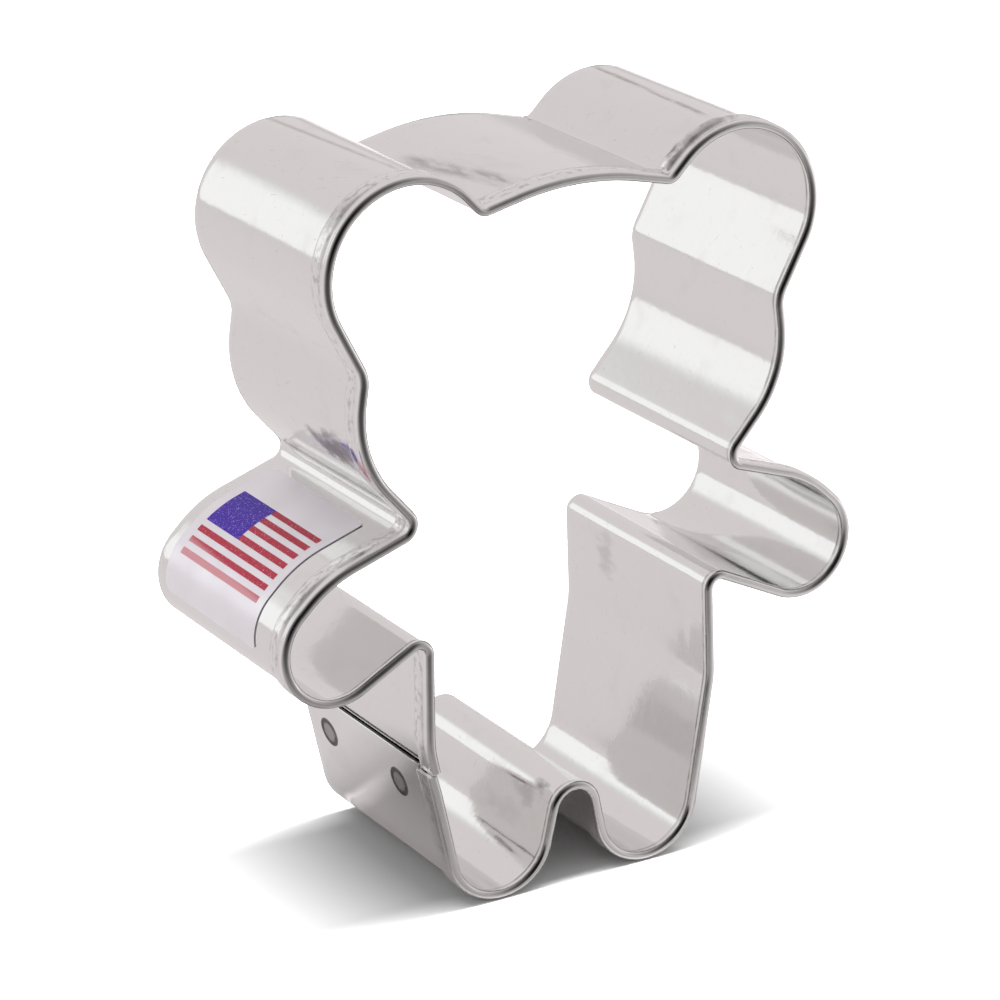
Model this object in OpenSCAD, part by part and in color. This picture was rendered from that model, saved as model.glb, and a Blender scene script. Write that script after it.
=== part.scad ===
// Bear-shaped cookie cutter: one strip of tinplate bent round to an outline, with a rolled rim in front,
// a cutting edge behind, two spot welds where its ends lap, and a paper-thin label round one arm.
// It stands on its feet: X runs across, Y runs from the rolled rim back to the cutting edge, Z is up.
// The outline is the strip's inner face. It is given as a chain of bends, each with a centre and a radius,
// and the strip runs straight from one bend to the next, touching both.

/* [Strip] */
// Depth of the cutter, from the rolled rim to the cutting edge
depth = 22.2; // [18:0.1:30]
// Thickness of the tinplate
sheet_t = 0.3; // [0.2:0.01:0.35]

/* [Rolled rim] */
// Width of the flap that is folded back on the outer face
flap_w = 2.4; // [1.5:0.1:4]
// How far the rolled bead stands inside of the inner face
bead_inset = 0.18; // [0.05:0.01:0.25]
// How far the rolled bead stands out beyond the flap
bead_outset = 0.03; // [0.02:0.01:0.1]

/* [Head] */
// Height of the middle of the head, at the inner face
head_top = 60.6; // [58:0.1:66]
// Straight run between the top of the head and the ear notch
head_run = 2.8; // [0.5:0.1:3.5]
// Bend radius in the notch between head and ear
notch_r = 1.2; // [1:0.05:1.5]
// Straight run between the ear notch and the ear
notch_run = 1.3; // [0.5:0.1:3]
// Direction from the ear's centre to the bend in the notch, in degrees above level
notch_rise = 35; // [30:1:40]

/* [Ears] */
// Half of the width across both ears
ear_reach = 22.5; // [22:0.1:24]
// How far the tops of the ears stand above the head
ear_rise = 2.2; // [1.9:0.1:2.6]
// Radius of an ear
ear_r = 7.1; // [6.5:0.1:7.5]
// Straight run between the ear and the temple
ear_run = 4.2; // [3:0.1:6]

/* [Face] */
// How much further in than the ear the temple lies
temple_in = 3.1; // [2.8:0.1:3.6]
// Bend radius at the temple
temple_r = 3; // [2:0.1:4]
// Straight run between the temple and the cheek
temple_run = 1.3; // [0.5:0.1:3]
// How far the cheek bulges out beyond the temple
cheek_out = 0.3; // [0.1:0.1:0.8]
// Radius of a cheek
cheek_r = 9.6; // [8.5:0.1:10.5]
// Straight run between the cheek and the neck
cheek_run = 2.9; // [2:0.1:4]
// How much further in than the cheek the neck lies
neck_in = 4.6; // [4:0.1:5.2]
// Bend radius at the neck
neck_r = 1.4; // [1:0.05:1.8]

/* [Arms] */
// Straight run between the neck and the shoulder
neck_run = 5; // [4:0.1:6]
// Radius of the shoulder's curve
shoulder_r = 10.4; // [9.5:0.1:11]
// Straight run between the shoulder and the end of the arm
shoulder_run = 1; // [0.6:0.1:2]
// Slope of that straight run, in degrees
shoulder_slope = 44; // [40:1:48]
// Half of the width across both arms
arm_reach = 26.8; // [24:0.1:30]
// Radius of the end of an arm
arm_r = 4.4; // [4:0.1:4.8]
// Slope of the arm's underside, in degrees
underarm_slope = 25.5; // [18:0.5:32]
// Bend radius in the armpit
armpit_r = 1.3; // [1:0.05:1.6]

/* [Legs] */
// How much further in than the calf the armpit's bend lies
waist_in = 0.3; // [0.1:0.1:0.8]
// How far up the calf is, as a share of the way from the foot to the armpit
calf_share = 0.6; // [0.5:0.05:0.7]
// Radius of a calf
calf_r = 9; // [7:0.1:11]
// How far the calf bulges out beyond the foot
calf_out = 1.6; // [1.2:0.1:2]
// Radius of a foot
foot_r = 4.4; // [4:0.1:4.8]
// Height of the arch between the legs, at the inner face
crotch_top = 8.7; // [7.5:0.1:10]
// Bend radius of the arch between the legs
crotch_r = 2.3; // [1.8:0.1:2.8]
// Straight run on the inside of each leg
leg_run = 2.9; // [2:0.1:4]
// How much further out the leg with the lapped ends stands than the other leg
lapped_leg_out = 0.8; // [0:0.1:1.2]
// Slope of the arm's underside above that leg, in degrees
lapped_underarm_slope = 29; // [20:0.5:32]

/* [Lapped ends] */
// Length of the lap, from the seam that shows to the hidden end
lap_len = 6.4; // [5:0.1:7.5]
// Gap between the two layers of the lap
lap_gap = 0.05; // [0.02:0.01:0.1]
// How far the seam lies below the calf's bend
seam_drop = 1.05; // [0.5:0.05:1.6]
// How much lower the two rolled rims meet than the seam
rim_seam_drop = 0.15; // [0.1:0.05:1]
// Gap between the two rolled rims where they meet
rim_seam_gap = 0.15; // [0.05:0.01:0.3]
// Gap between the bare end of the strip and the rolled rim beside it
rim_side_gap = 0.2; // [0.05:0.01:0.5]

/* [Spot welds] */
// Diameter of a spot weld
weld_d = 2.7; // [1.5:0.1:3]
// How far the spot welds lie below the seam
weld_drop = 3.6; // [2.5:0.1:4]
// Distance from the rolled rim to the nearer spot weld
weld_front = 7; // [5:0.1:9]
// Distance from the cutting edge to the other spot weld
weld_back = 3.4; // [2:0.1:7]
// How far a spot weld is pressed in below the tin's face
weld_dent = 0.04; // [0.01:0.01:0.08]

/* [Label] */
// Length of the label, round the arm
label_len = 14.2; // [12:0.1:17]
// Distance from the rolled rim to the label
label_front = 5.2; // [4.2:0.1:6]
// Distance from the cutting edge to the label
label_back = 1.6; // [0.5:0.1:3]
// Distance from the neck's bend to the label
label_start = 0.8; // [0.3:0.1:2]
// Thickness of the label's film
film_t = 0.08; // [0.04:0.01:0.15]
// Thickness of a layer of ink on the film
ink_t = 0.03; // [0.01:0.01:0.06]
// Bare film between the label's long sides and its printed panel
panel_margin = 1.2; // [0.5:0.1:2]
// Distance from the label's upper end to the printed panel
panel_start = 3.5; // [2:0.1:5]
// Width of one printed stripe, and of the bare film between two
stripe_w = 0.56; // [0.4:0.01:0.7]
// Number of printed stripes
stripes = 7; // [5:1:9]
// Number of stripes that the printed block covers
block_stripes = 4; // [2:1:4]
// Width of the printed block, across the strip
block_w = 5.4; // [3:0.1:7]
// Width of the thin line along the label's front side
line_w = 0.14; // [0.08:0.01:0.3]

/* [Hidden] */
$fn = 96;

// Straight runs are this much thinner on each side than bends, and reach this far into them,
// so that the pieces of the strip join cleanly
hair = 0.002;
reach_in = 0.02;
// The bead stands out on both sides of the fold's two layers
bead_r = (2 * sheet_t + bead_inset + bead_outset) / 2;
bead_x = sheet_t + (bead_outset - bead_inset) / 2;
// How far the rolled rim reaches beyond the inner face
rim_out = 2 * sheet_t + bead_outset;
// How far the layer inside the lap lies behind the other
lap_step = sheet_t + lap_gap;
// Overrun of the cuts
over = sheet_t;
// A whole turn
turn_full = 360;

// A bend is [x, z, radius, way]: way is 1 where it bulges out of the cutter and -1 where it points in
outward = 1;
inward = -1;

// Height between two bends that curve opposite ways, from their distance across and the straight run
function opposite_rise(r_one, r_two, across, run) =
    sqrt(pow(r_one + r_two, 2) + pow(run, 2) - pow(across, 2));

// Height of an armpit's bend, where the arm's underside slopes up to it
function armpit_height(x, slope) =
    arm_z - (arm_r + armpit_r) / cos(slope) + (arm_x - x) * tan(slope);

ear_x = ear_reach - ear_r;
ear_z = head_top + ear_rise - ear_r;
notch_away = norm([ear_r + notch_r, notch_run]);
notch_x = ear_x - notch_away * cos(notch_rise);
notch_z = ear_z + notch_away * sin(notch_rise);
// The head's top is the arc that leaves its straight run before the notch
notch_hang = notch_z - head_top;
head_r = (pow(notch_x, 2) + pow(notch_hang, 2) - pow(notch_r, 2) - pow(head_run, 2))
    / (2 * (notch_r - notch_hang));
head_z = head_top - head_r;
temple_reach = ear_reach - temple_in;
temple_x = temple_reach + temple_r;
temple_z = ear_z - opposite_rise(ear_r, temple_r, temple_x - ear_x, ear_run);
cheek_reach = temple_reach + cheek_out;
cheek_x = cheek_reach - cheek_r;
cheek_z = temple_z - opposite_rise(temple_r, cheek_r, temple_x - cheek_x, temple_run);
neck_x = cheek_reach - neck_in + neck_r;
neck_z = cheek_z - opposite_rise(cheek_r, neck_r, neck_x - cheek_x, cheek_run);
// The shoulder and the end of the arm are bent round two centres this far apart
arm_apart = (shoulder_r - arm_r) * [sin(shoulder_slope), cos(shoulder_slope)]
    + shoulder_run * [cos(shoulder_slope), -sin(shoulder_slope)];
arm_x = arm_reach - arm_r;
shoulder_x = arm_x - arm_apart.x;
shoulder_z = neck_z - opposite_rise(neck_r, shoulder_r, shoulder_x - neck_x, neck_run);
arm_z = shoulder_z + arm_apart.y;
foot_z = foot_r + rim_out;
crotch_z = crotch_top - crotch_r;
foot_x = sqrt(pow(foot_r + crotch_r, 2) + pow(leg_run, 2) - pow(foot_z - crotch_z, 2));
calf_reach = foot_x + foot_r + calf_out;
calf_x = calf_reach - calf_r;
armpit_x = calf_reach - waist_in + armpit_r;
lapped_calf_x = calf_x + lapped_leg_out;
lapped_armpit_x = armpit_x + lapped_leg_out;
armpit_z = armpit_height(armpit_x, underarm_slope);
lapped_armpit_z = armpit_height(lapped_armpit_x, lapped_underarm_slope);
calf_z = foot_z + calf_share * (armpit_z - foot_z);

// The bends in the order of the strip, clockwise from its hidden end in the lapped leg
bends = [
    [0, crotch_z, crotch_r + lap_step, inward],
    [-foot_x, foot_z, foot_r - lap_step, outward],
    [-lapped_calf_x, calf_z, calf_r - lap_step, outward],
    [-lapped_armpit_x, lapped_armpit_z, armpit_r, inward],
    [-arm_x, arm_z, arm_r, outward],
    [-shoulder_x, shoulder_z, shoulder_r, outward],
    [-neck_x, neck_z, neck_r, inward],
    [-cheek_x, cheek_z, cheek_r, outward],
    [-temple_x, temple_z, temple_r, inward],
    [-ear_x, ear_z, ear_r, outward],
    [-notch_x, notch_z, notch_r, inward],
    [0, head_z, head_r, outward],
    [notch_x, notch_z, notch_r, inward],
    [ear_x, ear_z, ear_r, outward],
    [temple_x, temple_z, temple_r, inward],
    [cheek_x, cheek_z, cheek_r, outward],
    [neck_x, neck_z, neck_r, inward],
    [shoulder_x, shoulder_z, shoulder_r, outward],
    [arm_x, arm_z, arm_r, outward],
    [armpit_x, armpit_z, armpit_r, inward],
    [calf_x, calf_z, calf_r, outward],
    [foot_x, foot_z, foot_r, outward],
    [0, crotch_z, crotch_r, inward],
    [-foot_x, foot_z, foot_r, outward],
    [-lapped_calf_x, calf_z, calf_r, outward]
];
// The calf's bend behind the lap, and the neck's bend above the labelled arm
lap_bend = 2;
label_bend = 6;
runs = len(bends) - 1;

function centre(bend) = [bend.x, bend.y];
function radius(bend) = bend[2];
function way(bend) = bend[3];

// Direction of the straight run that leaves one bend and touches the next
function heading(one, two) =
    let (span = centre(two) - centre(one))
    atan2(span.y, span.x) - asin((way(one) * radius(one) - way(two) * radius(two)) / norm(span));

headings = [for (i = [0:runs - 1]) heading(bends[i], bends[i + 1])];

// Side of the strip that faces out of the cutter, for a direction of travel
function outside(angle) = [-sin(angle), cos(angle)];

// Where the strip touches a bend, for a direction of travel
function touch(bend, angle) = centre(bend) + way(bend) * radius(bend) * outside(angle);

// Angle from 0 up to a whole turn
function wrapped(angle) = angle - turn_full * floor(angle / turn_full);

// How far the strip turns at a bend, less than zero where it bulges out
function turning(i) =
    way(bends[i]) == outward
    ? -wrapped(headings[i - 1] - headings[i])
    : wrapped(headings[i] - headings[i - 1]);

function run_len(i) = norm(touch(bends[i + 1], headings[i]) - touch(bends[i], headings[i]));
function bend_len(i) = i == 0 ? 0 : radius(bends[i]) * abs(turning(i)) * PI / 180;

// Distance along the strip at which each bend starts, from the first bend's touching point
function bend_start(i) = i == 0 ? 0 : bend_start(i - 1) + bend_len(i - 1) + run_len(i - 1);
bend_starts = [for (i = [0:runs]) bend_start(i)];
run_starts = [for (i = [0:runs - 1]) bend_starts[i] + bend_len(i)];

// The seam, the rims' joint and the hidden end, measured along the strip
inner_calf = bend_starts[lap_bend];
outer_calf = bend_starts[runs];
hidden_end = inner_calf - seam_drop - lap_len;
inner_rim_end = inner_calf - seam_drop - rim_seam_drop;
seam = outer_calf - seam_drop;
outer_rim_end = seam - rim_seam_drop - rim_seam_gap;
label_end = bend_starts[label_bend] - label_start;
label_top = depth - label_front;
label_w = label_top - label_back;
panel_top = label_top - panel_margin;
panel_w = label_w - 2 * panel_margin;
panel_end = label_end - panel_start;

// Turns what is laid flat, with the cutting edge down, so that it stands with the rolled rim in front
module stand() {
    translate([0, depth / 2, 0])
        rotate([90, 0, 0])
            children();
}

// A stretch of strip: sweeps a profile from one distance along the strip to another.
// In the profile, x is how far out of the inner face and y is the height above the cutting edge.
module along(from, to) {
    for (i = [0:runs - 1]) {
        start = max(from, run_starts[i] - reach_in);
        end = min(to, run_starts[i] + run_len(i) + reach_in);
        if (end > start)
            straight(i, start - run_starts[i], end - start)
                children();
    }
    for (i = [1:runs - 1]) {
        start = max(from, bend_starts[i]);
        end = min(to, bend_starts[i] + bend_len(i));
        if (end > start)
            curve(i, (start - bend_starts[i]) / bend_len(i), (end - bend_starts[i]) / bend_len(i))
                children();
    }
}

module straight(i, start, length) {
    $thinner = hair;
    foot_point = touch(bends[i], headings[i]) + start * [cos(headings[i]), sin(headings[i])];
    translate(foot_point)
        rotate(headings[i])
            rotate([90, 0, 90])
                linear_extrude(length)
                    children();
}

module curve(i, start_share, end_share) {
    $thinner = 0;
    bend = bends[i];
    sweep = turning(i);
    side = headings[i - 1] + way(bend) * 90;
    first = side + sweep * (sweep < 0 ? end_share : start_share);
    translate(centre(bend))
        rotate(first)
            rotate_extrude(angle = abs(sweep) * (end_share - start_share))
                translate([radius(bend), 0])
                    mirror([way(bend) == inward ? 1 : 0, 0])
                        children();
}

// A rectangle in a profile, a hair smaller on each side where the strip runs straight
module bar(x, y, thick, width) {
    translate([x + $thinner, y + $thinner])
        square([thick - 2 * $thinner, width - 2 * $thinner]);
}

module rimmed_profile() {
    bar(0, 0, sheet_t, depth - bead_r);
    bar(0, depth - flap_w, 2 * sheet_t, flap_w - bead_r);
    translate([bead_x, depth - bead_r])
        circle(bead_r - $thinner);
}

module bare_profile() {
    bar(hair, hair, sheet_t - 2 * hair, depth - flap_w - rim_side_gap);
}

// Places what points along +Z on the outer face of the lap, at the height of a weld
module at_weld(height) {
    last = runs - 1;
    length = run_len(last) - seam_drop - weld_drop;
    place = touch(bends[last], headings[last]) + length * [cos(headings[last]), sin(headings[last])];
    translate([place.x, place.y, height])
        rotate(headings[last])
            rotate([-90, 0, 0])
                children();
}

module welds(sink, reach) {
    for (height = [weld_back, depth - weld_front])
        at_weld(height)
            translate([0, 0, -lap_step - reach + sink])
                cylinder(d = weld_d, h = lap_step + sheet_t + 2 * reach - 2 * sink);
}

module band() {
    color("lightgray")
        stand()
            difference() {
                union() {
                    along(inner_rim_end, outer_rim_end)
                        rimmed_profile();
                    along(hidden_end, inner_rim_end + reach_in)
                        bare_profile();
                    along(outer_rim_end - reach_in, seam)
                        bare_profile();
                }
                welds(0, over);
            }
}

module spot_welds() {
    color("gray")
        stand()
            welds(weld_dent, 0);
}

// A thin layer on the outer face of the labelled arm, between two distances along the strip
module layer(from, to, low, width, lift, thick) {
    along(from, to)
        bar(sheet_t + lift, low, thick, width);
}

module label_film() {
    color("lavender")
        stand()
            layer(label_end - label_len, label_end, label_top - label_w, label_w, 0, film_t);
}

module printed_stripes() {
    color("firebrick")
        stand()
            for (i = [0:stripes - 1]) {
                upper = panel_end - 2 * i * stripe_w;
                width = i < block_stripes ? panel_w - block_w : panel_w;
                layer(upper - stripe_w, upper, panel_top - width, width, film_t, ink_t);
            }
}

module printed_block() {
    color("darkslateblue")
        stand()
            layer(panel_end - (2 * block_stripes - 1) * stripe_w, panel_end,
                panel_top - panel_w, block_w, film_t, ink_t);
}

module printed_line() {
    color("black")
        stand()
            layer(label_end - label_len, label_end, label_top - line_w, line_w, film_t, ink_t);
}

band();
spot_welds();
label_film();
printed_stripes();
printed_block();
printed_line();
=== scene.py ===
import math
from collections import namedtuple

import bpy
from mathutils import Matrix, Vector, noise


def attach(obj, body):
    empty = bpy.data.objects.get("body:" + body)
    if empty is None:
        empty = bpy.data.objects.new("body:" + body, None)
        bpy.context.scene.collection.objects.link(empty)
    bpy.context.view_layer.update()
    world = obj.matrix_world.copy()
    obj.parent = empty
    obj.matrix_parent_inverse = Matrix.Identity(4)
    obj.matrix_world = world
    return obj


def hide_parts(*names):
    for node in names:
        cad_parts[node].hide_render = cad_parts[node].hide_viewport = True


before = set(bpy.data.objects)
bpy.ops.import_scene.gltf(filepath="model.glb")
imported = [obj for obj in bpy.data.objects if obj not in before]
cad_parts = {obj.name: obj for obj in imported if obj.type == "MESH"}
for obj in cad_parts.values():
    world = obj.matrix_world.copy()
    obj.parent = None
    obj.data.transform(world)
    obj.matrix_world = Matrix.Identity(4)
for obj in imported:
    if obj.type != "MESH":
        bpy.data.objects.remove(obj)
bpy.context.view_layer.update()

# The strip is worked out in millimetres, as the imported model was, and becomes metres in its meshes
MM = 0.001

# Sizes, in millimetres

# The tinplate strip and its rolled rim
DEPTH = 22.2
SHEET_T = 0.3
FLAP_W = 2.4
BEAD_INSET = 0.18
BEAD_OUTSET = 0.03
BEAD_R = (2 * SHEET_T + BEAD_INSET + BEAD_OUTSET) / 2
BEAD_X = SHEET_T + (BEAD_OUTSET - BEAD_INSET) / 2
BEAD_W = 2 * BEAD_R
RIM_OUT = 2 * SHEET_T + BEAD_OUTSET

# Head, ears, face and neck
HEAD_TOP, HEAD_RUN = 60.6, 2.8
NOTCH_R, NOTCH_RUN, NOTCH_RISE = 1.2, 1.3, math.radians(35)
EAR_REACH, EAR_RISE, EAR_R, EAR_RUN = 22.5, 2.2, 7.1, 4.2
TEMPLE_IN, TEMPLE_R, TEMPLE_RUN = 3.1, 3.0, 1.3
CHEEK_OUT, CHEEK_R, CHEEK_RUN = 0.3, 9.6, 2.9
NECK_IN, NECK_R, NECK_RUN = 4.6, 1.4, 5.0

# Arms and legs
SHOULDER_R, SHOULDER_RUN, SHOULDER_SLOPE = 10.4, 1.0, math.radians(44)
ARM_REACH, ARM_R = 26.8, 4.4
UNDERARM_SLOPE, LAPPED_UNDERARM_SLOPE = math.radians(25.5), math.radians(29)
ARMPIT_R, WAIST_IN = 1.3, 0.3
CALF_SHARE, CALF_R, CALF_OUT = 0.6, 9.0, 1.6
FOOT_R, CROTCH_TOP, CROTCH_R, LEG_RUN = 4.4, 8.7, 2.3, 2.9
LAPPED_LEG_OUT = 0.8

# Where the strip's ends lap
LAP_LEN, LAP_GAP = 6.4, 0.05
SEAM_DROP, RIM_SEAM_DROP, RIM_SEAM_GAP, RIM_SIDE_GAP = 1.05, 0.15, 0.15, 0.2
LAP_STEP = SHEET_T + LAP_GAP

# Spot welds
WELD_D, WELD_DROP, WELD_FRONT, WELD_BACK = 2.7, 3.6, 7.0, 3.4

# The label and its print
LABEL_LEN, LABEL_FRONT, LABEL_BACK, LABEL_START = 14.2, 5.2, 1.6, 0.8
FILM_T, INK_T = 0.045, 0.015
PANEL_MARGIN, PANEL_START = 1.2, 3.5
STRIPE_W, STRIPES, BLOCK_STRIPES, BLOCK_W, LINE_W = 0.56, 7, 4, 5.4, 0.09

# A bend bulges out of the cutter or points in
OUTWARD, INWARD = 1, -1
Bend = namedtuple("Bend", "x z radius way")


def opposite_rise(r_one, r_two, across, run):
    """Height between two bends that curve opposite ways."""
    return math.sqrt((r_one + r_two) ** 2 + run ** 2 - across ** 2)


def outline_bends():
    """The strip's bends, clockwise from its hidden end in the lapped leg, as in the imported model."""
    ear_x, ear_z = EAR_REACH - EAR_R, HEAD_TOP + EAR_RISE - EAR_R
    notch_away = math.hypot(EAR_R + NOTCH_R, NOTCH_RUN)
    notch_x = ear_x - notch_away * math.cos(NOTCH_RISE)
    notch_z = ear_z + notch_away * math.sin(NOTCH_RISE)
    notch_hang = notch_z - HEAD_TOP
    head_span = notch_x ** 2 + notch_hang ** 2 - NOTCH_R ** 2 - HEAD_RUN ** 2
    head_r = head_span / (2 * (NOTCH_R - notch_hang))
    temple_reach = EAR_REACH - TEMPLE_IN
    temple_x = temple_reach + TEMPLE_R
    temple_z = ear_z - opposite_rise(EAR_R, TEMPLE_R, temple_x - ear_x, EAR_RUN)
    cheek_reach = temple_reach + CHEEK_OUT
    cheek_x = cheek_reach - CHEEK_R
    cheek_z = temple_z - opposite_rise(TEMPLE_R, CHEEK_R, temple_x - cheek_x, TEMPLE_RUN)
    neck_x = cheek_reach - NECK_IN + NECK_R
    neck_z = cheek_z - opposite_rise(CHEEK_R, NECK_R, neck_x - cheek_x, CHEEK_RUN)
    slope_cos, slope_sin = math.cos(SHOULDER_SLOPE), math.sin(SHOULDER_SLOPE)
    arm_x = ARM_REACH - ARM_R
    shoulder_x = arm_x - (SHOULDER_R - ARM_R) * slope_sin - SHOULDER_RUN * slope_cos
    shoulder_z = neck_z - opposite_rise(NECK_R, SHOULDER_R, shoulder_x - neck_x, NECK_RUN)
    arm_z = shoulder_z + (SHOULDER_R - ARM_R) * slope_cos - SHOULDER_RUN * slope_sin
    foot_z = FOOT_R + RIM_OUT
    crotch_z = CROTCH_TOP - CROTCH_R
    foot_x = math.sqrt((FOOT_R + CROTCH_R) ** 2 + LEG_RUN ** 2 - (foot_z - crotch_z) ** 2)
    calf_reach = foot_x + FOOT_R + CALF_OUT
    calf_x = calf_reach - CALF_R
    armpit_x = calf_reach - WAIST_IN + ARMPIT_R
    lapped_armpit_x = armpit_x + LAPPED_LEG_OUT
    lapped_calf_x = calf_x + LAPPED_LEG_OUT

    def armpit_height(x, slope):
        """Height of an armpit at the end of an arm's sloping underside."""
        return arm_z - (ARM_R + ARMPIT_R) / math.cos(slope) + (arm_x - x) * math.tan(slope)

    armpit_z = armpit_height(armpit_x, UNDERARM_SLOPE)
    lapped_armpit_z = armpit_height(lapped_armpit_x, LAPPED_UNDERARM_SLOPE)
    calf_z = foot_z + CALF_SHARE * (armpit_z - foot_z)
    half = [
        Bend(armpit_x, armpit_z, ARMPIT_R, INWARD),
        Bend(arm_x, arm_z, ARM_R, OUTWARD),
        Bend(shoulder_x, shoulder_z, SHOULDER_R, OUTWARD),
        Bend(neck_x, neck_z, NECK_R, INWARD),
        Bend(cheek_x, cheek_z, CHEEK_R, OUTWARD),
        Bend(temple_x, temple_z, TEMPLE_R, INWARD),
        Bend(ear_x, ear_z, EAR_R, OUTWARD),
        Bend(notch_x, notch_z, NOTCH_R, INWARD),
    ]
    return [
        Bend(0, crotch_z, CROTCH_R + LAP_STEP, INWARD),
        Bend(-foot_x, foot_z, FOOT_R - LAP_STEP, OUTWARD),
        Bend(-lapped_calf_x, calf_z, CALF_R - LAP_STEP, OUTWARD),
        Bend(-lapped_armpit_x, lapped_armpit_z, ARMPIT_R, INWARD),
        *[Bend(-b.x, b.z, b.radius, b.way) for b in half[1:]],
        Bend(0, HEAD_TOP - head_r, head_r, OUTWARD),
        *reversed(half),
        Bend(calf_x, calf_z, CALF_R, OUTWARD),
        Bend(foot_x, foot_z, FOOT_R, OUTWARD),
        Bend(0, crotch_z, CROTCH_R, INWARD),
        Bend(-foot_x, foot_z, FOOT_R, OUTWARD),
        Bend(-lapped_calf_x, calf_z, CALF_R, OUTWARD),
    ]


# Steps of the meshes along the strip: the largest turn in one, and the longest on the band and a patch
TURN_STEP = math.radians(4)
STATION_STEP, PATCH_STATION = 0.34, 0.5


class Strip:
    """The strip's inner face seen from the front: bends, and straight runs that touch them."""

    def __init__(self, bends):
        self.bends = bends
        self.runs = len(bends) - 1
        self.headings = [self.heading(bends[i], bends[i + 1]) for i in range(self.runs)]
        self.bend_lens = [0.0] + [bends[i].radius * abs(self.turning(i)) for i in range(1, self.runs)]
        self.run_lens = [math.dist(self.touch(i + 1, i), self.touch(i, i)) for i in range(self.runs)]
        self.bend_starts = [0.0]
        for bend_len, run_len in zip(self.bend_lens, self.run_lens):
            self.bend_starts.append(self.bend_starts[-1] + bend_len + run_len)

    @staticmethod
    def heading(one, two):
        """Direction of the straight run that leaves one bend and touches the next."""
        span_x, span_z = two.x - one.x, two.z - one.z
        lean = (one.way * one.radius - two.way * two.radius) / math.hypot(span_x, span_z)
        return math.atan2(span_z, span_x) - math.asin(lean)

    def on_bend(self, i, angle):
        """The point of a bend where the strip runs in a direction."""
        b = self.bends[i]
        return (b.x - b.way * b.radius * math.sin(angle), b.z + b.way * b.radius * math.cos(angle))

    def touch(self, bend, run):
        """Where the strip touches a bend as it leaves or meets a run."""
        return self.on_bend(bend, self.headings[run])

    def turning(self, i):
        """How far the strip turns at a bend, less than zero where it bulges out."""
        turn = (self.headings[i] - self.headings[i - 1]) * -self.bends[i].way % math.tau
        return -self.bends[i].way * turn

    def place(self, s):
        """The inner face's point and the strip's direction, at a distance along the strip."""
        i = max(k for k in range(self.runs) if self.bend_starts[k] <= s or k == 0)
        into = s - self.bend_starts[i]
        if i > 0 and into < self.bend_lens[i]:
            angle = self.headings[i - 1] + self.turning(i) * into / self.bend_lens[i]
            return *self.on_bend(i, angle), angle
        angle = self.headings[i]
        x, z = self.touch(i, i)
        along = into - self.bend_lens[i]
        return x + along * math.cos(angle), z + along * math.sin(angle), angle

    def stations(self, start, end, step):
        """Distances along the strip from start to end, closer together where it bends sharply."""
        sliver, nudge = 1e-9, 1e-6
        marks = {start, end}
        for i in range(self.runs):
            marks.update((self.bend_starts[i], self.bend_starts[i] + self.bend_lens[i]))
        marks = sorted(m for m in marks if start <= m <= end)
        found = []
        for low, high in zip(marks, marks[1:]):
            if high - low > sliver:
                turn = abs(self.place(high - nudge)[2] - self.place(low + nudge)[2])
                count = max(1, math.ceil((high - low) / step), math.ceil(turn / TURN_STEP))
                found += [low + (high - low) * k / count for k in range(count)]
        return found + [end]


strip = Strip(outline_bends())

# Places along the strip: the bends' starts, in the order of outline_bends
(_, _, INNER_CALF, LEFT_ARMPIT, LEFT_ARM, LEFT_SHOULDER, LEFT_NECK, LEFT_CHEEK, _, LEFT_EAR, LEFT_NOTCH,
 HEAD, RIGHT_NOTCH, RIGHT_EAR, _, RIGHT_CHEEK, RIGHT_NECK, RIGHT_SHOULDER, RIGHT_ARM, RIGHT_ARMPIT,
 RIGHT_CALF, _, CROTCH, LEFT_FOOT, OUTER_CALF) = strip.bend_starts
HIDDEN_END = INNER_CALF - SEAM_DROP - LAP_LEN
INNER_RIM_END = INNER_CALF - SEAM_DROP - RIM_SEAM_DROP
SEAM = OUTER_CALF - SEAM_DROP
OUTER_RIM_END = SEAM - RIM_SEAM_DROP - RIM_SEAM_GAP
LABEL_END = LEFT_NECK - LABEL_START
LABEL_BEGIN = LABEL_END - LABEL_LEN

# The metal's relief, in millimetres

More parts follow.
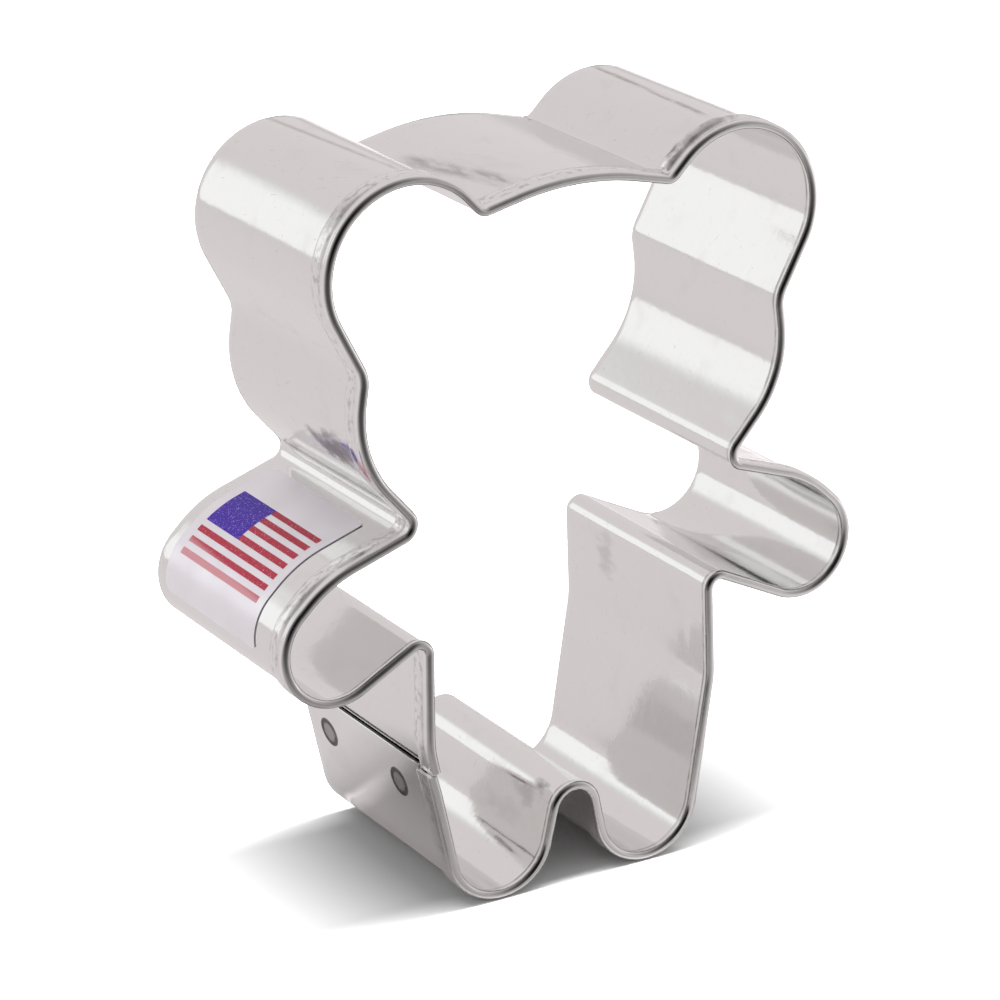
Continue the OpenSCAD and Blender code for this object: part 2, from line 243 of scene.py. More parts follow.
# Dents and press marks in the sheet: where, how far they reach each way, and how deep
Mark = namedtuple("Mark", "along back reach width depth")
SHEET_MARKS = [
    Mark(LEFT_ARMPIT + 6.9, 10.1, 0.30, 1.6, -0.022),
    Mark(LEFT_ARMPIT + 3.4, 6.4, 0.28, 2.4, 0.022),
    Mark(LEFT_ARM + 1.3, 7.0, 0.32, 2.2, -0.022),
    Mark(LEFT_NECK + 3.4, 12.0, 0.35, 14.0, -0.022),
    Mark(LEFT_NECK + 4.7, 11.0, 0.30, 12.0, 0.014),
    Mark(LEFT_NECK - 0.5, 10.0, 0.30, 16.0, 0.016),
    Mark(LEFT_NECK + 6.6, 7.6, 1.6, 2.2, -0.010),
    Mark(LEFT_CHEEK + 9.3, 6.5, 0.25, 3.2, -0.010),
    Mark(LEFT_CHEEK + 8.6, 12.5, 0.22, 2.6, -0.008),
    Mark(LEFT_EAR + 9.9, 3.4, 1.0, 1.1, -0.030),
    Mark(LEFT_EAR + 14.3, 12.0, 0.55, 16.0, -0.030),
    Mark(HEAD + 0.3, 10.5, 1.4, 3.6, -0.026),
    Mark(HEAD + 9.2, 6.0, 1.1, 4.2, -0.020),
    Mark(RIGHT_EAR + 0.8, 3.6, 0.9, 1.2, -0.035),
    Mark(RIGHT_EAR + 5.2, 14.0, 0.5, 14.0, -0.030),
    Mark(RIGHT_CHEEK + 0.7, 4.3, 0.35, 0.6, -0.030),
    Mark(RIGHT_NECK - 1.2, 3.2, 0.8, 1.6, 0.030),
    Mark(RIGHT_ARM + 3.0, 14.0, 0.5, 5.0, -0.010),
    Mark(RIGHT_ARMPIT + 2.5, 15.5, 0.8, 2.6, -0.016),
    Mark(RIGHT_ARMPIT + 5.5, 3.45, 3.2, 0.16, 0.035),
    Mark(RIGHT_CALF + 6.0, 8.0, 1.8, 3.0, 0.014),
    Mark(CROTCH + 5.2, 3.4, 0.6, 1.3, -0.040),
    Mark(CROTCH + 1.4, 14.0, 0.3, 9.0, 0.010),
    Mark(LEFT_FOOT + 9.0, 12.0, 2.4, 5.0, -0.012),
]

# Tucks of spare metal in the folded flap, where the strip bends inwards: place and height
TUCK_REACH, TUCK_W, TUCK_BACK = 0.62, 0.85, 1.9
TUCKS = [
    (LEFT_ARMPIT + 1.2, 0.08),
    (LEFT_NECK + 1.6, 0.10),
    (LEFT_NOTCH + 0.4, 0.09),
    (RIGHT_NOTCH + 1.9, 0.20),
    (RIGHT_NECK + 1.3, 0.10),
    (RIGHT_ARMPIT + 1.2, 0.08),
    (CROTCH + 2.6, 0.09),
    (LEFT_EAR + 9.6, 0.09),
]

# Where the flap stays round instead of lying flat: place, reach and height, over a slight bulge all along
BULGE = 0.03
BULGES = [
    (RIGHT_EAR + 3.4, 3.6, 0.26),
    (LEFT_EAR + 11.5, 3.0, 0.12),
    (LEFT_EAR + 4.0, 4.0, 0.04),
    (LEFT_CHEEK + 4.0, 5.0, 0.04),
    (LEFT_SHOULDER + 1.0, 3.0, 0.15),
    (HEAD + 6.0, 5.0, 0.04),
    (RIGHT_EAR + 12.0, 4.0, 0.05),
    (LEFT_ARMPIT - 5.0, 4.0, 0.05),
    (RIGHT_SHOULDER + 3.0, 4.0, 0.05),
    (RIGHT_CALF + 5.0, 6.0, 0.04),
]

# Where the flap is crumpled: place, reach and strength
CRUMPLES = [
    (INNER_RIM_END + 4.6, 5.0, 1.0),
    (LEFT_EAR + 9.8, 1.6, 1.0),
    (RIGHT_NOTCH + 2.2, 1.8, 1.0),
    (LEFT_SHOULDER + 1.0, 1.3, 0.8),
    (LEFT_NECK + 2.4, 3.0, 0.8),
    (RIGHT_NECK - 0.6, 1.8, 0.8),
    (CROTCH + 4.0, 2.6, 1.0),
    (LEFT_ARM + 5.5, 1.6, 0.7),
    (RIGHT_EAR + 8.0, 1.4, 0.5),
]

# Waves of noise in the metal: height, lengths along the strip and across it, and the noise's seed
Wave = namedtuple("Wave", "height along across seed")
SHEET_WAVES = [Wave(0.045, 11.0, 14.0, 3.7), Wave(0.010, 3.4, 9.0, 8.1)]
FLAP_WAVE = Wave(0.022, 1.9, 1.6, 5.5)
CRUMPLE_WAVE = Wave(0.050, 0.60, 0.55, 1.9)
BEAD_WAVE = Wave(0.010, 1.3, 0.5, 6.2)
BEAD_SHIFT = Wave(0.012, 1.7, 0.5, 2.4)
EDGE_SHIFTS = [Wave(0.12, 4.5, 1.0, 7.7), Wave(0.06, 1.2, 1.0, 4.4)]

# Past this many reaches from its place, a mark is too faint to count
FADED = 3


def near(value, place, reach):
    """1 at a place, dying away past its reach."""
    return math.exp(-((value - place) / reach) ** 2)


def between(value, low, high):
    """0 up to low, 1 from high."""
    share = min(1.0, max(0.0, (value - low) / (high - low)))
    return share * share * (3 - 2 * share)


def ripple(wave, along, across):
    """How high a wave stands at a place."""
    return wave.height * noise.noise(Vector((along / wave.along, across / wave.across, wave.seed)))


def sheet_wave(s, w):
    """How far the sheet stands out of its true place: slow waves that die away at the lap and the rim."""
    past_start = between(s, INNER_RIM_END + 4, INNER_RIM_END + 14)
    before_end = between(SEAM - s, LAP_LEN + 4, LAP_LEN + 14)
    behind_rim = between(w, 1.0, 8.0)
    return past_start * before_end * behind_rim * sum(ripple(wave, s, w) for wave in SHEET_WAVES)


def sheet_marks(s, w):
    """How far the dents and press marks lift or sink the sheet."""
    return sum(m.depth * near(s, m.along, m.reach) * near(w, m.back, m.width)
               for m in SHEET_MARKS if abs(s - m.along) < FADED * m.reach)


def flap_relief(s, w):
    """The folded flap's own bumps: a slight wave, crumpled metal, tucks and places where it stays round."""
    bead_side, roundness = 0.5, 0.8
    lift = ripple(FLAP_WAVE, s, w)
    for place, reach, strength in CRUMPLES:
        if abs(s - place) < FADED * reach:
            lift += strength * near(s, place, reach) * ripple(CRUMPLE_WAVE, s, w)
    for place, height in TUCKS:
        if abs(s - place) < FADED * TUCK_REACH:
            lift += height * near(s, place, TUCK_REACH) * near(w, TUCK_BACK, TUCK_W)
    bulge = BULGE + sum(height * near(s, place, reach) for place, reach, height in BULGES)
    share = min(1.0, max(0.0, (w - BEAD_W) / (FLAP_W - BEAD_W)))
    return lift * between(w, BEAD_W, BEAD_W + bead_side) + bulge * math.sin(math.pi * share ** roundness)


def seam_lift(s, w):
    """The outer end stands a little off the layer under it, more beside the rolled rim."""
    all_over, by_rim, by_rim_from, by_rim_to, reach = 0.02, 0.025, 4.0, 11.0, 2.5
    height = all_over + by_rim * between(-w, -by_rim_to, -by_rim_from)
    return height * between(s, SEAM - reach, SEAM)


def band_relief(s, w, out):
    """How far a point of the band moves outwards and back from its true place."""
    past_sheet, edge_from = 1.5 * SHEET_T, 1.6
    lift, shift = sheet_wave(s, w) + seam_lift(s, w), 0.0
    if w > BEAD_W:
        lift += sheet_marks(s, w)
    else:
        lift += ripple(BEAD_WAVE, s, w)
        shift += ripple(BEAD_SHIFT, s, out)
    if out > past_sheet and w > BEAD_W:
        lift += flap_relief(s, w)
        shift += between(w, edge_from, FLAP_W) * sum(ripple(wave, s, 0.0) for wave in EDGE_SHIFTS)
    return lift, shift


def surface_relief(s, w, out):
    """The same for what is stuck on the sheet."""
    return sheet_wave(s, w) + sheet_marks(s, w), 0.0


# The meshes


def new_object(name, verts, faces, materials):
    """A smooth-shaded mesh object with its materials."""
    mesh = bpy.data.meshes.new(name)
    mesh.from_pydata(verts, [], faces)
    mesh.update()
    mesh.polygons.foreach_set("use_smooth", [True] * len(mesh.polygons))
    for material in materials:
        mesh.materials.append(material)
    obj = bpy.data.objects.new(name, mesh)
    bpy.context.scene.collection.objects.link(obj)
    return obj


# Edges that turn by more than this are drawn sharp
SHARP_ANGLE = math.radians(38)


class Shell:
    """A closed mesh swept along the strip. Each point keeps its place on the strip for the materials."""

    def __init__(self):
        self.verts, self.faces, self.strip_mm, self.ends = [], [], [], []

    def point(self, s, out, w, relief=surface_relief):
        """Adds a point at a distance along the strip, out from its inner face and back from its rim."""
        x, z, angle = strip.place(s)
        lift, shift = relief(s, w, out)
        away, back = out + lift, w + shift
        place = (x - away * math.sin(angle), back - DEPTH / 2, z + away * math.cos(angle))
        self.verts.append(tuple(c * MM for c in place))
        self.strip_mm.append((s, w, out))

    def sweep(self, profile_at, stations, relief=surface_relief):
        """Joins a ring of profile points at each station, and closes both ends."""
        base = len(self.verts)
        for s in stations:
            profile = profile_at(s)
            for out, w in profile:
                self.point(s, out, w, relief)
        count = len(profile)
        for i in range(len(stations) - 1):
            for k in range(count):
                a, b = base + i * count + k, base + i * count + (k + 1) % count
                self.faces.append((a, b, b + count, a + count))
        last = base + (len(stations) - 1) * count
        self.ends += [len(self.faces), len(self.faces) + 1]
        self.faces.append(tuple(base + k for k in reversed(range(count))))
        self.faces.append(tuple(last + k for k in range(count)))

    def make(self, name, materials):
        """The object, with its sharp edges marked and the strip's coordinates."""
        obj = new_object(name, self.verts, self.faces, materials)
        obj.data.set_sharp_from_angle(angle=SHARP_ANGLE)
        places = obj.data.attributes.new("strip_mm", "FLOAT_VECTOR", "POINT")
        places.data.foreach_set("vector", [c for place in self.strip_mm for c in place])
        return obj


def arc(centre, radius, start, end, count):
    """Points of an arc in a profile, angles in degrees."""
    angles = [math.radians(start + (end - start) * k / count) for k in range(count + 1)]
    return [(centre[0] + radius * math.cos(a), centre[1] + radius * math.sin(a)) for a in angles]


def levels(low, high, count):
    """Even steps from one value to another, both included."""
    return [low + (high - low) * k / count for k in range(count + 1)]


# Steps of a profile: over the sheet, beside the rim, round the fillet, round the bead, and over a patch
SHEET_STEPS, RIM_SIDE_STEPS, FILLET_STEPS, BEAD_STEPS, PATCH_STEPS = 24, 6, 4, 26, 10

# The band's fine forms: the fillet inside the bead, the crease outside it, and the cut edges' rounding
FILLET, CREASE, EDGE_R = 0.25, 0.035, 0.06
CHAMFER = EDGE_R * 0.3


def rimmed_profile():
    """Outline of the strip's cross-section with the rolled rim: (out, back) points, round the metal."""
    fillet_w = BEAD_R + math.sqrt((BEAD_R + FILLET) ** 2 - (BEAD_X + FILLET) ** 2)
    join = math.degrees(math.atan2(fillet_w - BEAD_R, -(BEAD_X + FILLET)))
    bead_end = 360 + 12
    broad_to, fine_from, fine_to = fillet_w + 2.6, fillet_w + 2.45, fillet_w + 0.3
    top = 2 * SHEET_T
    crease = [(0.7, 0.68), (1.0, 0.84), (0.6, 1.0)]
    foot_rise, foot_reach, outer_from = 0.01, 0.05, FLAP_W + 0.4
    flap_levels = (1.2, 1.45, 1.7, 1.95, 2.2, FLAP_W - EDGE_R)
    points = [(0.0, w) for w in levels(DEPTH - EDGE_R, broad_to, SHEET_STEPS)]
    points += [(0.0, w) for w in levels(fine_from, fine_to, RIM_SIDE_STEPS)]
    points += arc((-FILLET, fillet_w), FILLET, 0, join - 180, FILLET_STEPS)
    points += arc((BEAD_X, BEAD_R), BEAD_R, join, bead_end, BEAD_STEPS)[1:]
    points += [(top - CREASE * share, w) for share, w in crease]
    points += [(top, w) for w in flap_levels]
    points += [(top - CHAMFER, FLAP_W - CHAMFER), (top - EDGE_R, FLAP_W)]
    points += [(SHEET_T + foot_rise, FLAP_W), (SHEET_T, FLAP_W + foot_reach)]
    points += [(SHEET_T, w) for w in levels(outer_from, DEPTH - EDGE_R, SHEET_STEPS)]
    points += [(SHEET_T - CHAMFER, DEPTH - CHAMFER), (SHEET_T - EDGE_R, DEPTH)]
    points += [(EDGE_R, DEPTH), (CHAMFER, DEPTH - CHAMFER)]
    return points


def bare_profile(inset):
    """The same for the plain sheet, which ends beside the rolled rim."""
    front = FLAP_W + RIM_SIDE_GAP
    inner = [(inset, w) for w in levels(DEPTH - EDGE_R, front + EDGE_R, SHEET_STEPS)]
    outer = [(SHEET_T - inset, w) for w in levels(front + EDGE_R, DEPTH - EDGE_R, SHEET_STEPS)]
    front_edge = [(EDGE_R, front), (SHEET_T - EDGE_R, front)]
    back_edge = [(SHEET_T - EDGE_R, DEPTH), (EDGE_R, DEPTH)]
    return inner + front_edge + outer + back_edge


def make_band(tin, cut_edge):
    """The strip: its rimmed length, and a bare tongue at each end under and over the lap."""
    burr, overlap, plain_inset = 0.04, 0.02, 0.002
    shell = Shell()
    rimmed = rimmed_profile()
    shell.sweep(lambda s: rimmed, strip.stations(INNER_RIM_END, OUTER_RIM_END, STATION_STEP), band_relief)
    for start, end, tip, beside_tip in (
            (HIDDEN_END, INNER_RIM_END + overlap, HIDDEN_END, HIDDEN_END + burr),
            (OUTER_RIM_END - overlap, SEAM, SEAM, SEAM - burr)):
        stations = sorted(strip.stations(start, end, STATION_STEP) + [beside_tip])
        shell.sweep(lambda s: bare_profile(EDGE_R if s == tip else plain_inset), stations, band_relief)
    obj = shell.make("tinplate_band", [tin, cut_edge])
    for face in shell.ends:
        obj.data.polygons[face].use_smooth = False
    for face in shell.ends[2:]:
        obj.data.polygons[face].material_index = 1
    return obj


def layer(shell, start, end, front, back, low, thick, corner):
    """A thin patch on the outer face, with round corners and a bevelled edge."""
    bevel = thick * 0.4
    base = SHEET_T + low

    def profile_at(s):
        """The patch's cross-section, narrower at its round corners."""
        from_end = min(corner, s - start, end - s)
        pull = corner - math.sqrt(max(0.0, corner ** 2 - (corner - from_end) ** 2))
        first, last = front + pull, back - pull
        return ([(base - thick / 2, first), (base + thick - bevel, first)]
                + [(base + thick, w) for w in levels(first + bevel, last - bevel, PATCH_STEPS)]
                + [(base + thick - bevel, last), (base - thick / 2, last)])

    rounding = [corner * share for share in (0.08, 0.3, 0.65)]
    stations = strip.stations(start, end, PATCH_STATION)
    stations += [start + step for step in rounding] + [end - step for step in rounding]
    shell.sweep(profile_at, sorted(set(stations)))


def make_label(film, red, blue, black):
    """The film, its red and blue inks, and the thin black line along its front edge, each of which replaces
    its plain layer.
    """
    film_corner, ink_corner, line_corner = 0.7, 0.05, 0.02
    line_inset, line_margin = 0.3, 0.03
    top, bottom = LABEL_FRONT, DEPTH - LABEL_BACK
    panel_front, panel_back = top + PANEL_MARGIN, bottom - PANEL_MARGIN
    panel_end = LABEL_END - PANEL_START
    block_front = panel_back - BLOCK_W
    sheet, stripes, block, line = Shell(), Shell(), Shell(), Shell()
    layer(sheet, LABEL_BEGIN, LABEL_END, top, bottom, 0, FILM_T, film_corner)
    for i in range(STRIPES):
        upper = panel_end - 2 * i * STRIPE_W
        back = block_front if i < BLOCK_STRIPES else panel_back
        layer(stripes, upper - STRIPE_W, upper, panel_front, back, FILM_T, INK_T, ink_corner)
    lower = panel_end - (2 * BLOCK_STRIPES - 1) * STRIPE_W
    layer(block, lower, panel_end, block_front, panel_back, FILM_T, INK_T, ink_corner)
    line_start, line_end = LABEL_BEGIN + line_inset, LABEL_END - line_inset
    line_front = top + line_margin
    layer(line, line_start, line_end, line_front, line_front + LINE_W, FILM_T, INK_T, line_corner)
    return {
        "label_film": sheet.make("film_label", [film]),
        "printed_stripes": stripes.make("red_stripes", [red]),
        "printed_block": block.make("blue_block", [blue]),
        "printed_line": line.make("black_line", [black]),
    }


def make_welds(material):
    """The dished marks that the two spot welds leave on both faces of the lap."""
    rings, spokes, skin = 14, 40, 0.012
    radius = WELD_D / 2
    shell = Shell()

    def height(share):
        """How far a mark stands out, at a share of its radius from its middle."""
        pressed = -0.010 * near(share, 0.0, 0.45)
        groove = -0.010 * near(share, 0.78, 0.10)
        lip = 0.006 * near(share, 0.92, 0.07)
        return skin + pressed + groove + lip

    def button(s_middle, w_middle, side):
        """A mark whose edge is sunk in the sheet, on the outer face for side 1 and the inner for -1."""
        base = len(shell.verts)
        shares = [k / rings for k in range(1, rings + 1)] + [1.0]
        for ring, share in enumerate(shares):
            rise = height(share) if ring < rings else -skin
            out = SHEET_T + rise if side > 0 else -rise
            for k in range(spokes):
                turn = math.tau * k / spokes
                s = s_middle + radius * share * math.cos(turn)
                w = w_middle + radius * share * math.sin(turn)
                shell.point(s, out, w, lambda a, b, c: (seam_lift(a, b) if side > 0 else 0.0, 0.0))
                shell.strip_mm[-1] = (share, turn, 0.0)
        for ring in range(rings):
            for k in range(spokes):
                a, b = base + ring * spokes + k, base + ring * spokes + (k + 1) % spokes
                shell.faces.append((a, b, b + spokes, a + spokes)[::side])
        shell.faces.append(tuple(base + k for k in range(spokes))[::-side])
        shell.faces.append(tuple(base + rings * spokes + k for k in range(spokes))[::side])

    for w_middle in (WELD_FRONT, DEPTH - WELD_BACK):
        button(SEAM - WELD_DROP, w_middle, 1)
        button(INNER_CALF - SEAM_DROP - WELD_DROP, w_middle, -1)
    return shell.make("weld_marks", [material])


# Materials


def new_material(name):
    """A material, its node tree and its shader."""
    material = bpy.data.materials.new(name)
    material.use_nodes = True
    tree = material.node_tree
    return material, tree, tree.nodes["Principled BSDF"]


def math_node(tree, operation, *values):
    """The result of an operation on values, each a number or a socket."""
    node = tree.nodes.new("ShaderNodeMath")
    node.operation = operation
    for socket, value in zip(node.inputs, values):
        if isinstance(value, (int, float)):
            socket.default_value = value
        else:
            tree.links.new(value, socket)
    return node.outputs[0]


def chained(tree, operation, values):
    """One operation carried along a row of values."""
    found = values[0]
    for value in values[1:]:
        found = math_node(tree, operation, found, value)
    return found


def product(tree, *values):
    """All the values multiplied."""
    return chained(tree, "MULTIPLY", values)


def total(tree, *values):
    """All the values added up."""
    return chained(tree, "ADD", values)


def largest(tree, *values):
    """The largest of the values."""
    return chained(tree, "MAXIMUM", values)


def smooth_step(tree, value, low, high, to_low=0.0, to_high=1.0):
    """Goes smoothly from to_low to to_high while a value goes from low to high."""
    node = tree.nodes.new("ShaderNodeMapRange")
    node.interpolation_type = "SMOOTHSTEP"
    for name, number in (("From Min", low), ("From Max", high), ("To Min", to_low), ("To Max", to_high)):
        node.inputs[name].default_value = number
    tree.links.new(value, node.inputs["Value"])
    return node.outputs["Result"]


def within(tree, value, rise, fall):
    """1 between two ranges of a value: climbs over the first, and falls away over the second."""
    return product(tree, smooth_step(tree, value, *rise), smooth_step(tree, value, *fall, 1.0, 0.0))


def vector_node(tree, operation, vector, fixed=None):
    """The outputs of an operation on a vector, and on a fixed one where it takes two."""
    node = tree.nodes.new("ShaderNodeVectorMath")
    node.operation = operation
    tree.links.new(vector, node.inputs[0])
    if fixed is not None:
        node.inputs[1].default_value = fixed
    return node.outputs


def separated(tree, vector):
    """A vector's three parts."""
    split = tree.nodes.new("ShaderNodeSeparateXYZ")
    tree.links.new(vector, split.inputs[0])
    return split.outputs


def strip_place(tree, scale):
    """The strip's own coordinates, in millimetres times a scale."""
    places = tree.nodes.new("ShaderNodeAttribute")
    places.attribute_name = "strip_mm"
    return vector_node(tree, "MULTIPLY", places.outputs["Vector"], scale)["Vector"]


def strip_axes(tree):
    """The same one by one: the distance along the strip, back from the rim, and out."""
    return separated(tree, strip_place(tree, (1.0, 1.0, 1.0)))


def noise_map(tree, scale, detail=3.0):
    """Noise over the strip's coordinates, with a scale for each."""
    node = tree.nodes.new("ShaderNodeTexNoise")
    node.inputs["Scale"].default_value = 1.0
    node.inputs["Detail"].default_value = detail
    tree.links.new(strip_place(tree, scale), node.inputs["Vector"])
    return node.outputs[0]


def mixed(tree, factor, one, two):
    """A colour between two, each a colour or a socket."""
    node = tree.nodes.new("ShaderNodeMix")
    node.data_type = "RGBA"
    tree.links.new(factor, node.inputs[0])
    for socket, value in ((node.inputs[6], one), (node.inputs[7], two)):
        if isinstance(value, tuple):
            socket.default_value = (*value, 1)
        else:
            tree.links.new(value, socket)
    return node.outputs[2]


def add_bump(tree, shader, height, distance_mm):
    """Bumps in the shade only, far finer than the meshes' own relief."""
    bump = tree.nodes.new("ShaderNodeBump")
    bump.inputs["Distance"].default_value = distance_mm * MM
    tree.links.new(height, bump.inputs["Height"])
    tree.links.new(bump.outputs[0], shader.inputs["Normal"])


def scratches(tree, along, back, seed):
    """Short thin scratches that all run one way, kept to some patches."""
    sway, patch_share, patch_seed = 9.0, 0.35, seed + 3.0
    x, y, _ = separated(tree, strip_place(tree, (along, back, 0.0)))
    swaying = product(tree, noise_map(tree, (0.05, 0.05, seed), detail=1.0), sway)
    wave = math_node(tree, "SINE", total(tree, x, y, swaying))
    line = smooth_step(tree, wave, low=0.985, high=1.0)
    patches = noise_map(tree, (abs(back) * patch_share, abs(along) * patch_share, patch_seed))
    return product(tree, line, smooth_step(tree, patches, low=0.60, high=0.68))


# Grey spots of painted shade at dents, tucks, the flap beside the rim, the crotch and the neck:
# place along the strip, place across it, reach each way and strength
SHADE_SPOTS = [
    (RIGHT_ARMPIT + 5.0, 16.0, 2.0, 1.4, 0.30),
    (RIGHT_ARMPIT + 3.2, 15.6, 0.8, 1.2, 0.22),
    (HEAD + 0.3, 10.5, 2.4, 3.2, 0.07),
    (RIGHT_NOTCH + 3.0, 2.2, 1.0, 0.7, 0.80),
    (RIGHT_EAR + 3.0, 1.4, 3.6, 0.8, 0.55),
    (LEFT_EAR + 8.8, 1.6, 2.2, 0.8, 0.40),
    (CROTCH + 5.1, 2.8, 0.6, 0.9, 0.75),
    (CROTCH + 6.4, 4.6, 1.0, 2.0, 0.30),
    (CROTCH + 8.6, 7.0, 1.2, 3.4, 0.14),
    (LEFT_NECK + 8.4, 6.2, 1.5, 4.8, 0.85),
]

# Long lines of painted shade across the ears and the head: place along the strip at the rim, slant,
# half-width, start and end across it, strength
SHADE_LINES = [
    (RIGHT_EAR + 4.7, 0.04, 0.45, 3.4, 24.0, 0.62),
    (LEFT_EAR + 15.6, -0.072, 0.40, 3.3, 24.0, 0.42),
    (HEAD + 1.9, -0.23, 1.5, 2.6, 17.0, 0.62),
]


def shade_spots(tree):
    """Grey spots of painted shade, with uneven edges."""
    edge = noise_map(tree, (1.3, 0.6, 1.0), detail=2.0)
    uneven = smooth_step(tree, edge, low=0.3, high=0.7, to_low=-0.35, to_high=0.35)
    spots = []
    for along, back, reach, width, strength in SHADE_SPOTS:
        middle = (along / reach, back / width, 0.0)
        place = strip_place(tree, (1 / reach, 1 / width, 0.0))
        away = total(tree, vector_node(tree, "DISTANCE", place, middle)["Value"], uneven)
        spots.append(smooth_step(tree, away, low=0.1, high=1.3, to_low=strength, to_high=0.0))
    return largest(tree, *spots)


def shade_lines(tree):
    """Long grey lines of painted shade across the strip, broken up by noise."""
    along, back, _ = strip_axes(tree)
    breaks = noise_map(tree, (0.9, 0.25, 1.0), detail=4.0)
    uneven = smooth_step(tree, breaks, low=0.38, high=0.58, to_low=0.30, to_high=1.0)
    lines = []
    for start, slant, half, near_rim, far, strength in SHADE_LINES:
        middle = math_node(tree, "MULTIPLY_ADD", back, slant, start)
        away = math_node(tree, "ABSOLUTE", math_node(tree, "SUBTRACT", along, middle))
        line = smooth_step(tree, away, low=half * 0.15, high=half, to_low=strength, to_high=0.0)
        reach = within(tree, back, rise=(near_rim - 0.5, near_rim + 1.5), fall=(far - 3.0, far))
        lines.append(product(tree, line, reach))
    return product(tree, largest(tree, *lines), uneven)


def fold_shade_and_mottle(tree, back, out):
    """Painted shade in the crease along the flap's edge and at the bead's foot, and darker mottling on the
    flap.
    """
    outer_side, inner_side, flap_side = 0.2, 0.1, 0.45
    # Painted shade: dark lines in the crease at the flap's edge and at the bead's foot, of uneven strength
    flap_edge_shade = within(tree, back, rise=(FLAP_W - 0.12, FLAP_W - 0.04), fall=(FLAP_W + 0.06, FLAP_W + 0.22))
    flap_edge_shade = product(tree, flap_edge_shade, math_node(tree, "GREATER_THAN", out, outer_side))
    bead_foot_shade = within(tree, back, rise=(0.78, 0.86), fall=(0.94, 1.08))
    bead_foot_shade = product(tree, bead_foot_shade, math_node(tree, "LESS_THAN", out, inner_side))
    line_noise = noise_map(tree, (0.5, 0.5, 2.0), detail=2.0)
    worn = smooth_step(tree, line_noise, low=0.35, high=0.65, to_low=0.25, to_high=0.8)
    lines = product(tree, largest(tree, flap_edge_shade, bead_foot_shade), worn)
    # Darker mottling on the flap
    on_flap = within(tree, back, rise=(0.85, 1.05), fall=(FLAP_W - 0.1, FLAP_W + 0.1))
    on_flap = product(tree, on_flap, math_node(tree, "GREATER_THAN", out, flap_side))
    spots = noise_map(tree, (1.5, 2.2, 5.0), detail=3.0)
    mottled = smooth_step(tree, spots, low=0.48, high=0.66, to_low=0.0, to_high=0.42)
    return largest(tree, lines, product(tree, on_flap, mottled))


# Colours of the tin, with the greys of the shade painted on it
BRIGHT, RUBBED, CLOUDED = (0.800, 0.795, 0.790), (0.745, 0.738, 0.732), (0.785, 0.780, 0.778)
SCRATCHED, SHEARED = (0.58, 0.57, 0.56), (0.56, 0.55, 0.54)
SHADE_GREY, FOLD_SHADE = (0.36, 0.345, 0.335), (0.26, 0.25, 0.24)


def tin_material():
    """Bright tinned steel: cloudy, with fine rolling streaks, rubbed patches and scratches, and grey
    painted shade at its dents, tucks, folds, crotch and neck.
    """
    material, tree, shader = new_material("tinplate")
    _, back, out = strip_axes(tree)
    clouds = noise_map(tree, (0.13, 0.11, 0.3))
    streaks = noise_map(tree, (0.22, 3.1, 1.0), detail=4.0)
    pits = noise_map(tree, (1.1, 0.9, 1.0), detail=4.0)
    rubbed = smooth_step(tree, noise_map(tree, (0.31, 0.27, 0.9), detail=5.0), low=0.55, high=0.75)
    rising = scratches(tree, along=5.0, back=2.2, seed=2.0)
    falling = scratches(tree, along=-1.7, back=5.5, seed=5.0)
    lines = largest(tree, rising, falling)
    bead = smooth_step(tree, back, low=0.72, high=0.95, to_low=1.0, to_high=0.0)
    sheared = smooth_step(tree, back, low=DEPTH - 0.10, high=DEPTH - 0.03)
    # Painted shade: grey spots and lines at the dents, tucks, crotch and neck, which are rougher there too
    smudged_shade = largest(tree, shade_spots(tree), shade_lines(tree))
    # Painted shade in the folds' creases, with darker mottling on the flap
    fold_shade = fold_shade_and_mottle(tree, back, out)
    colour = mixed(tree, rubbed, BRIGHT, RUBBED)
    for share, over in ((clouds, CLOUDED), (lines, SCRATCHED), (smudged_shade, SHADE_GREY), (sheared, SHEARED),
                        (fold_shade, FOLD_SHADE)):
        colour = mixed(tree, share, colour, over)
    tree.links.new(colour, shader.inputs["Base Color"])
    shader.inputs["Metallic"].default_value = 1.0
    rough = smooth_step(tree, streaks, low=0.3, high=0.7, to_low=0.10, to_high=0.14)
    for share, more in ((rubbed, 0.06), (lines, 0.15), (bead, 0.04), (smudged_shade, 0.42), (sheared, 0.30)):
        rough = total(tree, rough, product(tree, share, more))
    tree.links.new(rough, shader.inputs["Roughness"])
    bumps = total(tree, pits, product(tree, streaks, 0.12))
    bumps = math_node(tree, "SUBTRACT", bumps, product(tree, lines, 0.10))
    add_bump(tree, shader, bumps, distance_mm=0.010)
    return material


def cut_edge_material():
    """The steel where the sheet was sheared, painted near black for the shade at the seam."""
    dark, pale = (0.07, 0.066, 0.062), (0.17, 0.16, 0.15)
    material, tree, shader = new_material("shaded_sheared_steel")
    grain = noise_map(tree, (9.0, 4.0, 20.0))
    tree.links.new(mixed(tree, grain, dark, pale), shader.inputs["Base Color"])
    shader.inputs["Metallic"].default_value = 1.0
    shader.inputs["Roughness"].default_value = 0.5
    add_bump(tree, shader, grain, distance_mm=0.02)
    return material


